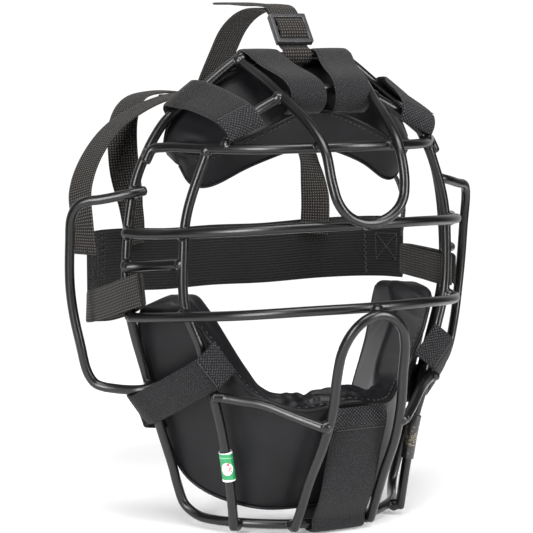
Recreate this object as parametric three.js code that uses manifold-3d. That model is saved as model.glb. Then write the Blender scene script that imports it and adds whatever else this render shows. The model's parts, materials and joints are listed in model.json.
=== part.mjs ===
// A catcher's mask: a welded rod cage, two padded liners held in it by hook-and-loop straps,
// and a strap harness. Millimetres, +Z up, the face of the mask towards -Y, the wearer behind it
// at +Y. The origin is in the middle of the cage's rear plane, level with the wearer's eyes.
import * as THREE from "three";
import { mergeVertices } from "three/addons/utils/BufferGeometryUtils.js";
import Module from "manifold-3d";

const wasm = await Module();
wasm.setup();

// Driving dimensions.
const ROD = 6; // diameter of every cage rod
const ROD_SIDES = 8;
const LAP = ROD + 0.4; // centre to centre where one rod lies across another
const GAP = 0.35; // left between pieces that touch
const WEBBING = 20; // width of the harness webbing
const WEBBING_THICK = 1.6;
const ELASTIC = 42; // width of the elastic back band
const ELASTIC_THICK = 2;
const PAD_STRAP = 25; // width of the hook-and-loop straps
const PAD_STRAP_THICK = 1.6;
const CHEEK_STRAP = 24;
const CHIN_STRAP = 37;
const PAD_SKIN = 1.6; // thickness of a liner's cover
const COVER_GAP = 1.1;
const FOAM_GAP = 1.4;

// Cage heights and reaches.
const TOP = 115.5; // centre of the top rod
const BASE = -169.5; // centre of the bottom rod
const CHIN_ROD_Y = -55; // how far forward the bottom rod reaches
const HALF_WIDTH = 112; // side of the cage at eye level

const BLACK_STEEL = { color: 0x141414, roughness: 0.28, metalness: 0.4 };
const LEATHER = { color: 0x1c1c1e, roughness: 0.42, metalness: 0 };
const FOAM = { color: 0x3a3a3c, roughness: 0.95, metalness: 0 };
const LOOP_TAPE = { color: 0x2c2c30, roughness: 0.9, metalness: 0 };
const BLACK_WEBBING = { color: 0x1b1714, roughness: 0.85, metalness: 0 };
const BLACK_ELASTIC = { color: 0x141414, roughness: 0.88, metalness: 0 };
const GREY_NYLON = { color: 0x2a2a2c, roughness: 0.4, metalness: 0 };
const GREEN_LABEL = { color: 0x1d8a4a, roughness: 0.45, metalness: 0 };
const CLEAR_LABEL = { color: 0x6c675c, roughness: 0.3, metalness: 0 };

const mask = new THREE.Group();

const vec = ([x, y, z]) => new THREE.Vector3(x, y, z);
const curveThrough = (points) => new THREE.CatmullRomCurve3(points.map(vec));
const flipped = (points) => points.map(([x, y, z]) => [-x, y, z]);

// A half route given from one side to the middle, carried on to the other side.
const acrossMiddle = (half) => [...half, ...flipped(half.slice(0, -1)).reverse()];

function add(name, geometry, look, mirrored = false) {
  const mesh = new THREE.Mesh(geometry, new THREE.MeshStandardMaterial(look));
  mesh.name = name;
  if (mirrored) mesh.scale.x = -1;
  mask.add(mesh);
  return mesh;
}

// The same piece on both sides: the left one as drawn, the right one mirrored.
function addPair(name, geometry, look) {
  add(name + "_left", geometry, look);
  add(name + "_right", geometry, look, true);
}

// A round rod along a smooth curve.
function rod(points, steps, diameter = ROD) {
  const section = new THREE.Shape();
  for (let i = 0; i < ROD_SIDES; i++) {
    const angle = ((i + 0.5) / ROD_SIDES) * 2 * Math.PI;
    const x = (Math.cos(angle) * diameter) / 2;
    const y = (Math.sin(angle) * diameter) / 2;
    if (i === 0) section.moveTo(x, y);
    else section.lineTo(x, y);
  }
  section.closePath();
  return new THREE.ExtrudeGeometry(section, { steps, extrudePath: curveThrough(points) });
}

// A box whose points are moved by place(u, v, w), each of them running from 0 to 1.
function warpedBox(cuts, place, range = [[0, 1], [0, 1], [0, 1]]) {
  const box = new THREE.BoxGeometry(1, 1, 1, ...cuts);
  const position = box.getAttribute("position");
  const at = (i, axis) => {
    const [low, high] = range[axis];
    return low + (high - low) * (position.getComponent(i, axis) + 0.5);
  };
  for (let i = 0; i < position.count; i++) {
    const p = place(at(i, 0), at(i, 1), at(i, 2));
    position.setXYZ(i, p.x, p.y, p.z);
  }
  return box;
}

// A flat strap along a smooth curve. Its width lies along the directions in across, which are
// spread evenly from one end to the other.
function strap(points, width, thick, steps, ...across) {
  const curve = curveThrough(points);
  const widthAt = (u) => {
    const at = u * (across.length - 1);
    const before = Math.min(Math.floor(at), Math.max(across.length - 2, 0));
    const after = Math.min(before + 1, across.length - 1);
    return vec(across[before]).normalize().lerp(vec(across[after]).normalize(), at - before);
  };
  const place = (u, v, w) => {
    const centre = curve.getPointAt(u);
    const along = curve.getTangentAt(u);
    const side = widthAt(u);
    side.addScaledVector(along, -side.dot(along)).normalize();
    const up = new THREE.Vector3().crossVectors(side, along);
    return centre.addScaledVector(side, (v - 0.5) * width).addScaledVector(up, (0.5 - w) * thick);
  };
  return warpedBox([steps, 1, 1], place);
}

function solid(geometry) {
  const bare = geometry.clone();
  bare.deleteAttribute("normal");
  bare.deleteAttribute("uv");
  const merged = mergeVertices(bare, 1e-3);
  return new wasm.Manifold(
    new wasm.Mesh({
      numProp: 3,
      vertProperties: merged.getAttribute("position").array,
      triVerts: new Uint32Array(merged.index.array),
    }),
  );
}

function geometryOf(made) {
  const mesh = made.getMesh();
  const geometry = new THREE.BufferGeometry();
  geometry.setAttribute("position", new THREE.BufferAttribute(mesh.vertProperties, 3));
  geometry.setIndex(new THREE.BufferAttribute(mesh.triVerts, 1));
  geometry.computeVertexNormals();
  return geometry;
}

// ---- The cage ----------------------------------------------------------------------------

// One rod runs down each side, round the two bottom corners and forward under the chin.
const sideHoop = acrossMiddle([
  [-36.2, 0, TOP - 0.2],
  [-40.5, 0, 112.5],
  [-50, 0, 105.5],
  [-61, 0, 97],
  [-72.5, 0, 88.5],
  [-83, 0, 80.5],
  [-90.5, 0, 72],
  [-97, 0, 61],
  [-103, 0, 49],
  [-107, 0, 36],
  [-110, 0, 20],
  [-HALF_WIDTH, 0, 0],
  [-112.5, 0, -22],
  [-109.5, 0, -44],
  [-99, 0, -82],
  [-91.5, 0, -110],
  [-83.5, 0, -135],
  [-76.5, 0, -159],
  [-73, -3, -166.5],
  [-67.5, -13, BASE],
  [-58, -28.5, BASE],
  [-40, -43.5, BASE],
  [-22, -52.5, BASE],
  [0, CHIN_ROD_Y, BASE],
]);
add("side_hoop", rod(sideHoop, 66), BLACK_STEEL);
add("top_rod", rod([[-34, 0, TOP], [0, 0, TOP], [34, 0, TOP]], 4), BLACK_STEEL);

// Three level bars cross the face; their ends lie over the front of the side rods.
const browBar = acrossMiddle([
  [-101.5, -LAP, 54],
  [-98, -6.6, 60.5],
  [-92, -14, 62.5],
  [-77, -39.5, 63],
  [-56, -65, 63.5],
  [-28, -82, 64.5],
  [0, -87, 65],
]);
add("brow_bar", rod(browBar, 34), BLACK_STEEL);

const eyeBar = acrossMiddle([
  [-114.5, -5.8, 11],
  [-108.5, -17, 11],
  [-95, -44.5, 13.5],
  [-70, -72, 16.5],
  [-38, -91, 19],
  [0, -97, 19.5],
]);
add("eye_bar", rod(eyeBar, 32), BLACK_STEEL);

const cheekBar = acrossMiddle([
  [-112, -5.8, -41],
  [-107, -17, -40],
  [-94.5, -45, -36.5],
  [-71, -77, -32.5],
  [-38, -100, -29],
  [0, -108.5, -28],
]);
add("cheek_bar", rod(cheekBar, 32), BLACK_STEEL);

// The nose loop hangs from the top rod, over the brow bar, down to the eye bar.
const noseLoop = acrossMiddle([
  [-36, -3.9, 112.5],
  [-32.5, -35, 100],
  [-29.5, -53, 90.5],
  [-26.5, -77.2, 77.4],
  [-24.8, -93, 63.6],
  [-24, -101, 44],
  [-20.5, -103.6, 32],
  [-12, -103.8, 24],
  [0, -103.8, 21],
]);
add("nose_loop", rod(noseLoop, 46), BLACK_STEEL);

// The chin loop rises from the bottom rod to the cheek bar.
const chinLoop = acrossMiddle([
  [-26.5, -57.6, -170.5],
  [-26, -63, -161.5],
  [-25.5, -76, -137],
  [-24.5, -91.5, -112],
  [-23, -101, -89],
  [-22.3, -104, -70],
  [-21, -108.5, -53],
  [-16.5, -113, -41],
  [-9, -115, -34],
  [0, -115.2, -31.5],
]);
add("chin_loop", rod(chinLoop, 46), BLACK_STEEL);

// A low arch carries the brow straps: a bridge between the legs of the nose loop, and a spoke from
// each leg down to the brow bar.
const archBridge = acrossMiddle([
  [-26, -45.3, 91.2],
  [-20, -42, 94],
  [0, -39.5, 97],
]);
add("arch_bridge", rod(archBridge, 12), BLACK_STEEL);
const archSpoke = [
  [-34.6, -46.5, 91],
  [-46, -46, 85],
  [-58, -47.5, 76.5],
  [-67.4, -50.2, 68.2],
];
addPair("arch_spoke", rod(archSpoke, 6), BLACK_STEEL);

// An upright on each side, from under the brow bar to the front of the bottom rod.
const upright = [
  [-76.6, -40, 59.4],
  [-86.5, -39, 33],
  [-90, -38.4, 18],
  [-91.2, -38.4, 2],
  [-90.5, -38.6, -32],
  [-83, -42, -54],
  [-74, -44, -88],
  [-67.5, -42, -112],
  [-61.5, -40.5, -147],
  [-58.6, -39, -171],
];
addPair("upright", rod(upright, 20), BLACK_STEEL);

// A short rung closes the slot under each end of the eye bar.
const slotBar = [
  [-114.5, -6.2, -10],
  [-107, -13, -9],
  [-93, -35.4, -6],
];
addPair("slot_bar", rod(slotBar, 4), BLACK_STEEL);

// Ear guards stand out from the side rods.
const earGuard = [
  [-103, -LAP, 36],
  [-109, -6.1, 35],
  [-125, 4, 31],
  [-136.5, 13, 28],
  [-140.5, 18, 20],
  [-141, 21, 2],
  [-140.5, 23, -23],
  [-138.5, 22.8, -41],
  [-135, 21, -60],
  [-130.8, 20, -78],
  [-126.5, 17.5, -85],
  [-118, 10, -87.3],
  [-103.5, -4.6, -86.6],
  [-95.5, -LAP, -84.4],
];
addPair("ear_guard", rod(earGuard, 34), BLACK_STEEL);

// Mouth bars run from the uprights to the legs of the chin loop.
const mouthBar = [
  [-77.5, -50.6, -85.5],
  [-73, -51.4, -86],
  [-65, -59, -87],
  [-54, -71, -88.5],
  [-41, -85, -94],
  [-28.3, -97.6, -99.3],
];
addPair("mouth_bar", rod(mouthBar, 12), BLACK_STEEL);

// A label is a thin sleeve round an upright, between two shares of the rod's length.
const SLEEVE_INSIDE = ROD / 2 + 0.7;
const SLEEVE_OUTSIDE = SLEEVE_INSIDE + 0.5;
function sleeve(from, to) {
  const along = curveThrough(upright);
  const route = [0, 1 / 3, 2 / 3, 1].map((part) => along.getPointAt(from + (to - from) * part));
  const ring = new THREE.Shape();
  ring.absarc(0, 0, SLEEVE_OUTSIDE, 0, 2 * Math.PI);
  const bore = new THREE.Path();
  bore.absarc(0, 0, SLEEVE_INSIDE, 0, 2 * Math.PI);
  ring.holes.push(bore);
  const extrudePath = new THREE.CatmullRomCurve3(route);
  return new THREE.ExtrudeGeometry(ring, { steps: 4, curveSegments: 14, extrudePath });
}
add("label_left", sleeve(0.79, 0.868), GREEN_LABEL);
add("label_right", sleeve(0.745, 0.864), CLEAR_LABEL, true);

// ---- The liners --------------------------------------------------------------------------

// A liner is a thick band between four rails: along its outer edge, its piped front seam, the
// front edge of its face side and the rear edge of its face side. A layer of it runs between two
// depths in millimetres, a negative depth being counted back from the face side.
function linerLayer(rails, from, to, turned) {
  const [outer, seam, faceFront, faceRear] = rails.map((half) => curveThrough(acrossMiddle(half)));
  return (u, v, w) => {
    const along = turned ? 1 - u : u;
    const front = outer.getPoint(along).lerp(seam.getPoint(along), v);
    const face = faceRear.getPoint(along).lerp(faceFront.getPoint(along), v);
    const depth = front.distanceTo(face);
    const start = from < 0 ? depth + from : from;
    const end = to <= 0 ? depth + to : to;
    return front.lerp(face, (start + (end - start) * w) / depth);
  };
}

// A liner comes apart into a flat front cover, a foam core and a face cover that holds the core.
function addLiner(name, rails, along, turned = false) {
  const layer = (from, to, inset) =>
    warpedBox([along, 2, 1], linerLayer(rails, from, to, turned), [
      [inset / 2, 1 - inset / 2],
      [inset, 1 - inset],
      [0, 1],
    ]);
  const frontCover = layer(0, PAD_SKIN, 0);
  const tray = layer(PAD_SKIN + COVER_GAP, 0, 0);
  const hollow = layer(0, -PAD_SKIN, 0.06);
  const core = layer(PAD_SKIN + FOAM_GAP, -PAD_SKIN - FOAM_GAP, 0.09);
  add(name + "_front_cover", frontCover, LEATHER);
  add(name + "_foam", core, FOAM);
  add(name + "_face_cover", geometryOf(solid(tray).subtract(solid(hollow))), LEATHER);
}

const browLiner = [
  [[-90, 3, 62], [-83, 6, 76], [-66, 7, 92], [-40, 8, 107], [0, 8, 113.5]],
  [[-87, -9, 58], [-78, -17, 56], [-62, -28, 60], [-38, -36, 72], [0, -36, 85]],
  [[-82, -3, 48], [-74, -7, 38], [-60, -12, 38], [-36, -22, 51], [0, -27, 61]],
  [[-84, 10, 54], [-74, 15, 59], [-60, 17, 68], [-34, 19, 82], [0, 19, 89]],
];
addLiner("brow_liner", browLiner, 14);

const jawLiner = [
  [[-104, 4, -41], [-99.5, 6, -75], [-87.5, 6, -113], [-72, -3, -148.5], [-43, -37, -161], [0, -49, -160]],
  [[-86, -30, -37], [-73, -42, -56], [-62, -46, -73], [-48, -54, -88], [-27, -75, -94], [0, -82, -89]],
  [[-70, -14, -33], [-64, -29, -46], [-46, -37, -73], [-36, -45, -86], [-22, -61, -86], [0, -67, -81]],
  [[-74, 20, -36], [-70, 20, -72], [-60, 15, -108], [-50, 1, -134], [-30, -18, -143], [0, -28, -141]],
];
addLiner("jaw_liner", jawLiner, 18, true);

// ---- Hook-and-loop straps of the liners --------------------------------------------------

const INNER_BROW_X = 24.9; // from the strap's middle to the middle of the pair, at the fold

// Each strap is sewn to a liner's seam, passes over the cage and folds round a rod; the rest of
// it is a flap that peels open about the fold.
const REST = ROD / 2 + GAP + PAD_STRAP_THICK / 2; // strap centre from the rod's centre

const innerBrowStrap = [
  [-12.8, -41, 82.5],
  [-12.8, -47.5, 86.5],
  [-13, -49.6, 91.5],
  [-13.8, -48, 97.5],
  [-16, -42, 103],
  [-21, -20, 111],
  [-24.4, -6, 118.2],
  [-INNER_BROW_X, -2.6, TOP + REST - 0.1],
  [-INNER_BROW_X, -0.4, TOP + REST],
];
const innerBrowFlap = [
  [-INNER_BROW_X, 0.4, TOP + REST],
  [-INNER_BROW_X, 5.5, 119.2],
  [-INNER_BROW_X, 10.8, 115.4],
  [-INNER_BROW_X, 14.6, 108],
  [-INNER_BROW_X, 18.5, 97],
];
const X_AXIS = [1, 0, 0];
const INNER_BROW_STRAP = 24;
const BROW_SHIFT = 2; // both sit a little to the right
const shifted = (points, x) => points.map((point) => [point[0] + x, point[1], point[2]]);
for (const [side, half] of [["left", (route) => route], ["right", flipped]]) {
  const strapRoute = shifted(half(innerBrowStrap), BROW_SHIFT);
  const flapRoute = shifted(half(innerBrowFlap), BROW_SHIFT);
  const sewn = strap(strapRoute, INNER_BROW_STRAP, PAD_STRAP_THICK, 14, X_AXIS);
  const free = strap(flapRoute, INNER_BROW_STRAP, PAD_STRAP_THICK, 8, X_AXIS);
  add("inner_brow_strap_" + side, sewn, LOOP_TAPE);
  add("inner_brow_flap_" + side, free, LOOP_TAPE);
}

// The outer pair lie across the sloping part of the side rods.
const SLOPE = [0.79, 0, 0.62]; // direction of the rod there
const OUT = [-0.62, 0, 0.79]; // away from the cage, square to the rod
const onRod = [-73, 0, 91.2];
const offRod = (out, y, slide = 0) => [
  onRod[0] + OUT[0] * out + SLOPE[0] * slide,
  y,
  onRod[2] + OUT[2] * out + SLOPE[2] * slide,
];
const SEWN_SLOPE = [0.94, 0, 0.34]; // direction of the sewn end's edge
const outerBrowStrap = [
  [-57.5, -55.4, 72.5],
  [-59.5, -55.4, 77],
  [-63, -49, 83.5],
  [-67, -33, 89],
  [-70.5, -15, 92.6],
  offRod(REST - 0.3, -3.2),
  offRod(REST, -0.5),
];
const outerBrowFlap = [
  offRod(REST, 0.5),
  offRod(REST - 0.8, 5.5),
  offRod(-0.5, 11),
  offRod(-8, 13.6),
  offRod(-18, 16.6),
];
const outerSewn = strap(outerBrowStrap, PAD_STRAP, PAD_STRAP_THICK, 18, SEWN_SLOPE, SLOPE);
addPair("outer_brow_strap", outerSewn, LOOP_TAPE);
addPair("outer_brow_flap", strap(outerBrowFlap, PAD_STRAP, PAD_STRAP_THICK, 8, SLOPE), LOOP_TAPE);

// The cheek straps run down and back from the seam, outside the uprights, to the side rods,
// which they cross on a slant.
const CHEEK_SLANT = [0.6, 0, -0.8];
const CHEEK_FOLD_X = -104.6;
const CHEEK_FOLD_Z = -100.4;
const cheekStrap = [
  [-70, -49, -61.5],
  [-75, -51, -65.5],
  [-82, -50, -71.5],
  [-91, -35, -82],
  [-99.5, -15, -93.5],
  [-104.2, -3.6, -99.8],
  [CHEEK_FOLD_X, -0.5, CHEEK_FOLD_Z],
];
const cheekFlap = [
  [CHEEK_FOLD_X, 0.5, CHEEK_FOLD_Z],
  [CHEEK_FOLD_X, 3, CHEEK_FOLD_Z],
  [-102.6, 6.4, -101],
  [-96.5, 9.6, -102],
  [-88, 12, -103.5],
  [-78, 17.5, -105.5],
];
addPair("cheek_strap", strap(cheekStrap, CHEEK_STRAP, PAD_STRAP_THICK, 16, CHEEK_SLANT), LOOP_TAPE);
addPair("cheek_flap", strap(cheekFlap, CHEEK_STRAP, PAD_STRAP_THICK, 8, CHEEK_SLANT), LOOP_TAPE);

// The wide chin strap, sewn a little to the right, folds round the middle of the bottom rod.
const CHIN_X = 3;
const chinRod = (y, z) => [CHIN_X, CHIN_ROD_Y + y, BASE + z];
const chinStrap = [
  [CHIN_X, -85, -92],
  [CHIN_X, -86.5, -99],
  [CHIN_X, -79, -123],
  [CHIN_X, -69.5, -150],
  chinRod(-5, 3),
  chinRod(-4.4, -3),
  chinRod(-2.4, -REST - 0.4),
  chinRod(-0.5, -REST - 0.5),
];
const chinFlap = [
  chinRod(0.5, -REST - 0.5),
  chinRod(4.4, -REST - 0.2),
  chinRod(7.8, -1),
  [CHIN_X, -40.5, -164],
  [CHIN_X, -27, -152],
];
add("chin_strap", strap(chinStrap, CHIN_STRAP, PAD_STRAP_THICK, 28, X_AXIS), LOOP_TAPE);
add("chin_flap", strap(chinFlap, CHIN_STRAP, PAD_STRAP_THICK, 10, X_AXIS), LOOP_TAPE);

// ---- The harness -------------------------------------------------------------------------

const Z_AXIS = [0, 0, 1];
const BAND_FRONT = -17.5; // height of the elastic band's middle at its ends
const BAND_REAR = -23.5;

const backBand = acrossMiddle([
  [-113, 61.5, BAND_FRONT],
  [-109, 68, BAND_FRONT],
  [-95, 84.5, BAND_FRONT - 1],
  [-69, 101, BAND_FRONT - 3],
  [-36, 115, BAND_REAR],
  [0, 120, BAND_REAR],
]);
add("back_band", strap(backBand, ELASTIC, ELASTIC_THICK, 28, Z_AXIS), BLACK_ELASTIC);

// A loop of webbing round each side rod, sewn to itself in front and holding the band behind.
// The left one is longer and droops.
const leftLoop = [
  [-113.6, -24, -22],
  [-117.6, -6, -24.8],
  [-120, 20, -31],
  [-120, 44, -38],
  [-117.6, 54, -41],
  [-114.5, 57, -42],
  [-111.4, 54, -41],
  [-109.5, 44, -38],
  [-108.6, 20, -31],
  [-107.2, -4, -24.8],
  [-111.2, -24, -22],
];
const rightLoop = [
  [113.4, -13, -24.6],
  [117.6, -4, -24.6],
  [119, 20, -24.6],
  [118.6, 44, -24.6],
  [117.4, 54, -24.6],
  [114.5, 57, -24.6],
  [111.6, 54, -24.6],
  [110, 44, -24.6],
  [109, 20, -24.6],
  [107.4, -4, -24.6],
  [111.2, -13, -24.6],
];
add("side_loop_left", strap(leftLoop, WEBBING, WEBBING_THICK, 26, Z_AXIS), BLACK_WEBBING);
add("side_loop_right", strap(rightLoop, WEBBING, WEBBING_THICK, 26, Z_AXIS), BLACK_WEBBING);

// The crown straps meet on a patch of webbing at the back of the head.
const CROWN = [0, 141, 85];
const patch = new THREE.BoxGeometry(44, 44, 2);
const crownPatch = add("crown_patch", patch, BLACK_WEBBING);
crownPatch.position.set(...CROWN);
const ON_PATCH = CROWN[2] + 1 + GAP + WEBBING_THICK / 2;

const sideCrownStrap = [
  [-10.6, 130, ON_PATCH],
  [-22, 128, ON_PATCH],
  [-48, 116, 82],
  [-80, 98.5, 69],
  [-103, 83, 50],
  [-116, 69, 29],
  [-117.5, 62, 12],
  [-115.6, 61.5, -10],
];
addPair(
  "side_crown_strap",
  strap(sideCrownStrap, WEBBING, WEBBING_THICK, 18, [0.1, -1, 0], [0.45, -0.9, 0]),
  BLACK_WEBBING,
);

const rearCrownStrap = [
  [-10.6, 151.5, ON_PATCH],
  [-24, 151.5, ON_PATCH + 1],
  [-46, 144.5, 85],
  [-62, 128, 71.5],
  [-69, 112, 45],
  [-69, 100.5, 18],
  [-67.8, 97.6, 3],
  [-67.2, 97.9, -10],
];
const rearTwist = [
  [0, -1, 0],
  [0.1, -1, 0],
  [0.6, -0.8, 0],
  [0.85, -0.5, 0],
  [0.92, -0.38, 0],
  [0.95, 0.25, 0],
  [0.89, 0.46, 0],
];
addPair(
  "rear_crown_strap",
  strap(rearCrownStrap, WEBBING, WEBBING_THICK, 24, ...rearTwist),
  BLACK_WEBBING,
);

// The front strap loops round the top rod, a little right of the middle, passes behind the slide
// and runs back to the crown; its tail lies on top.
const STRAP_X = 2;
const SLIDE = { width: 25, length: 22, thick: 4, wall: 2.6, bar: 3 };
const SLIDE_LEAN = Math.atan2(0.79, 0.61); // the strap's rise from level at the slide
const SLIDE_CENTRE = [STRAP_X, 5.4, 132.4];
// A point beside the slide: so far along its length and so far behind its middle plane.
const bySlide = (along, behind) => [
  STRAP_X,
  SLIDE_CENTRE[1] + along * Math.cos(SLIDE_LEAN) + behind * Math.sin(SLIDE_LEAN),
  SLIDE_CENTRE[2] + along * Math.sin(SLIDE_LEAN) - behind * Math.cos(SLIDE_LEAN),
];
const BEHIND = SLIDE.thick / 2 + GAP + WEBBING_THICK / 2;
const aroundRod = (y, z) => [STRAP_X, y, TOP + z];
const frontStrap = [
  aroundRod(4.3, 1.5),
  aroundRod(3, -3),
  aroundRod(0, -4.3),
  aroundRod(-3, -3),
  aroundRod(-4.3, 0.5),
  aroundRod(-3.2, 4),
  bySlide(-11, BEHIND + 0.1),
  bySlide(0, BEHIND),
  bySlide(12, BEHIND),
  [STRAP_X, 21.5, 143.6],
  [STRAP_X, 36, 145],
  [2, 56, 144],
  [1.5, 74, 139],
  [1, 90, 130],
  [0.5, 104, 116],
  [0, 117, 102],
  [0, 127, 92],
  [0, 139, ON_PATCH + 0.6],
  [0, 156, ON_PATCH],
];
add("front_strap", strap(frontStrap, WEBBING, WEBBING_THICK, 76, X_AXIS), BLACK_WEBBING);

const strapTail = [
  bySlide(12.5, BEHIND - 2.2),
  [STRAP_X, 20, 145.8],
  [STRAP_X, 36, 147.4],
  [2, 56, 147.6],
  [1.5, 80, 148.5],
  [1, 100, 148.5],
];
add("strap_tail", strap(strapTail, WEBBING, WEBBING_THICK, 14, X_AXIS), BLACK_WEBBING);

// The three-bar slide stands against the front strap: two windows with a bar between them.
function threeBarSlide() {
  const windowLength = (SLIDE.length - 2 * SLIDE.wall - SLIDE.bar) / 2;
  const hole = new THREE.BoxGeometry(SLIDE.width - 2 * SLIDE.wall, windowLength, 3 * SLIDE.thick);
  let made = solid(new THREE.BoxGeometry(SLIDE.width, SLIDE.length, SLIDE.thick));
  for (const side of [-1, 1]) {
    const offset = (side * (SLIDE.bar + windowLength)) / 2;
    made = made.subtract(solid(hole.clone().translate(0, offset, 0)));
  }
  return geometryOf(made);
}
const slide = add("tri_glide", threeBarSlide(), GREY_NYLON);
slide.position.set(...SLIDE_CENTRE);
slide.rotation.x = SLIDE_LEAN;

export default mask;
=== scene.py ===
import itertools
import json
import math

import bmesh
import bpy
import numpy as np
from mathutils import Matrix, Vector
from mathutils.bvhtree import BVHTree
from mathutils.kdtree import KDTree

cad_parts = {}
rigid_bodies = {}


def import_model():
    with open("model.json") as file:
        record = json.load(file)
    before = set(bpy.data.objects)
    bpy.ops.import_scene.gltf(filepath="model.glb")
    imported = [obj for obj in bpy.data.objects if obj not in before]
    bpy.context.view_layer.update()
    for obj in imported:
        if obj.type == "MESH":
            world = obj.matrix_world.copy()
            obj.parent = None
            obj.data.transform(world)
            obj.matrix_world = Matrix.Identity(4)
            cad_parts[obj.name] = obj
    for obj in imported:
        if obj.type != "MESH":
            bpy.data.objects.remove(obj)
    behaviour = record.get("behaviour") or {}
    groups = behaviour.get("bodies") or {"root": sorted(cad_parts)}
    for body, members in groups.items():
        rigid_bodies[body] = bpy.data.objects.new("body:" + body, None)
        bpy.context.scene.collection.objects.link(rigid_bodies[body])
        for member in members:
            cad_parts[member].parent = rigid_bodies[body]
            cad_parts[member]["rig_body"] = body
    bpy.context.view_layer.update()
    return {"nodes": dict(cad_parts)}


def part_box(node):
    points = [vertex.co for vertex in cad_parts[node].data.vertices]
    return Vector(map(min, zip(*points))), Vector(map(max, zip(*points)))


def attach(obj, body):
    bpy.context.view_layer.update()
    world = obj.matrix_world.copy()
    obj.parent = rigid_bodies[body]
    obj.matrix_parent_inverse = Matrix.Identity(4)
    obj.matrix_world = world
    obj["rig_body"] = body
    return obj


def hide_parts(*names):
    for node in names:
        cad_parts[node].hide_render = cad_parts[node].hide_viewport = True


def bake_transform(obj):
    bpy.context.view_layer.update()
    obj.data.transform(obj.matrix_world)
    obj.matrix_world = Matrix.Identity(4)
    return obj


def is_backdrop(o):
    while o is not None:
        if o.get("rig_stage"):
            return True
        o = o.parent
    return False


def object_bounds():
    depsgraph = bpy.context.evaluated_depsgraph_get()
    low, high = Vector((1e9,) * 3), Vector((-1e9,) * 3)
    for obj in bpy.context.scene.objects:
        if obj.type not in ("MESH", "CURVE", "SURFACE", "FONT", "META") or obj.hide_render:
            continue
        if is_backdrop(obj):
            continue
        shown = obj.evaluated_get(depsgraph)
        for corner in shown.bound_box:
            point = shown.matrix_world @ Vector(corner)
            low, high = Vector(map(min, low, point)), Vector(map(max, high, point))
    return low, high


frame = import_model()
MM = 0.001
ROD_RADIUS, ROD_SIDES = 3 * MM, 8
PAD_STRAP_THICK = 1.6
WEBBING_SIZE = 20, 1.6  # width and thickness
ELASTIC_SIZE = 42, 2
CLOSE = 2e-5  # how far a size read from a mesh may be off
SIDES = ("left", "right")


# ---- Shapes read back from the frame -------------------------------------------------------

def mean(points):
    return sum(points, Vector()) / len(points)


def welded(node):
    """The node's mesh with its doubled corners joined."""
    bm = bmesh.new()
    bm.from_mesh(frame["nodes"][node].data)
    bmesh.ops.remove_doubles(bm, verts=bm.verts, dist=5e-6)
    bm.normal_update()
    return bm


def flat_patch(face):
    """The faces joined to this one in its plane."""
    found, waiting = {face}, [face]
    while waiting:
        for edge in waiting.pop().edges:
            for other in edge.link_faces:
                if other not in found and other.normal.dot(face.normal) > 0.999999:
                    found.add(other)
                    waiting.append(other)
    return found


def end_ring(bm, count, fits):
    """The corners of a flat end that has so many of them and the right size."""
    for face in bm.faces:
        patch = flat_patch(face)
        verts = {v for f in patch for v in f.verts}
        if len(verts) == count and len(patch) == count - 2 and fits([v.co for v in verts]):
            return verts
    raise ValueError("no end ring")


def rings(node, count, fits):
    """The corner points of a swept solid, ring by ring from one end."""
    bm = welded(node)
    ring = list(end_ring(bm, count, fits))
    seen, out = set(ring), []
    while ring:
        out.append([v.co.copy() for v in ring])
        linked = [{e.other_vert(v) for e in v.link_edges} - seen for v in ring]
        fresh = list(set().union(*linked))
        if count == 4 and len(fresh) == 4:
            fresh = min(
                itertools.permutations(fresh),
                key=lambda p: sum((a.co - b.co).length_squared for a, b in zip(ring, p)),
            )
        ring = list(fresh)
        seen.update(ring)
    bm.free()
    return out


def rod_line(node):
    """The points along the middle of a rod."""
    def round_end(points):
        middle = mean(points)
        return all(abs((p - middle).length - ROD_RADIUS) < CLOSE for p in points)

    return [mean(ring) for ring in rings(node, ROD_SIDES, round_end)]


def strap_line(node, width, thick):
    """(centres, unit directions of the width) along a flat strap, whose size is in millimetres."""
    def end(points):
        lengths = sorted((a - b).length for a, b in itertools.combinations(points, 2))
        return abs(lengths[0] - thick * MM) < CLOSE and abs(lengths[2] - width * MM) < CLOSE

    found = rings(node, 4, end)
    first = found[0]
    twin = min((1, 2, 3), key=lambda k: (first[k] - first[0]).length)
    rest = [k for k in (1, 2, 3) if k != twin]
    centres, sides = [], []
    for ring in found:
        left = (ring[0] + ring[twin]) / 2
        right = (ring[rest[0]] + ring[rest[1]]) / 2
        centres.append((left + right) / 2)
        sides.append((right - left).normalized())
    return centres, sides


def smooth(points, per):
    """A smooth curve through the points, cut into per pieces between two of them."""
    p = [Vector(q) for q in points]
    p = [2 * p[0] - p[1], *p, 2 * p[-1] - p[-2]]
    out = []
    for a, b, c, d in zip(p, p[1:], p[2:], p[3:]):
        for k in range(per):
            t = k / per
            bend = 2 * a - 5 * b + 4 * c - d
            twist = 3 * b - a - 3 * c + d
            out.append(0.5 * (2 * b + (c - a) * t + bend * t * t + twist * t ** 3))
    return out + [p[-2]]


def lengths_along(points):
    out = [0.0]
    for a, b in zip(points, points[1:]):
        out.append(out[-1] + (b - a).length)
    return out


# ---- Meshes --------------------------------------------------------------------------------

def placed(name, data):
    o = bpy.data.objects.new(name, data)
    bpy.context.scene.collection.objects.link(o)
    return o


def mesh_object(name, verts, faces, uv=None):
    mesh = bpy.data.meshes.new(name)
    mesh.from_pydata([tuple(v) for v in verts], [], faces)
    mesh.update()
    if uv is not None:
        layer = mesh.uv_layers.new(name="UVMap")
        for loop in mesh.loops:
            layer.data[loop.index].uv = uv[loop.vertex_index]
    for polygon in mesh.polygons:
        polygon.use_smooth = True
    return placed(name, mesh)


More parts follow.
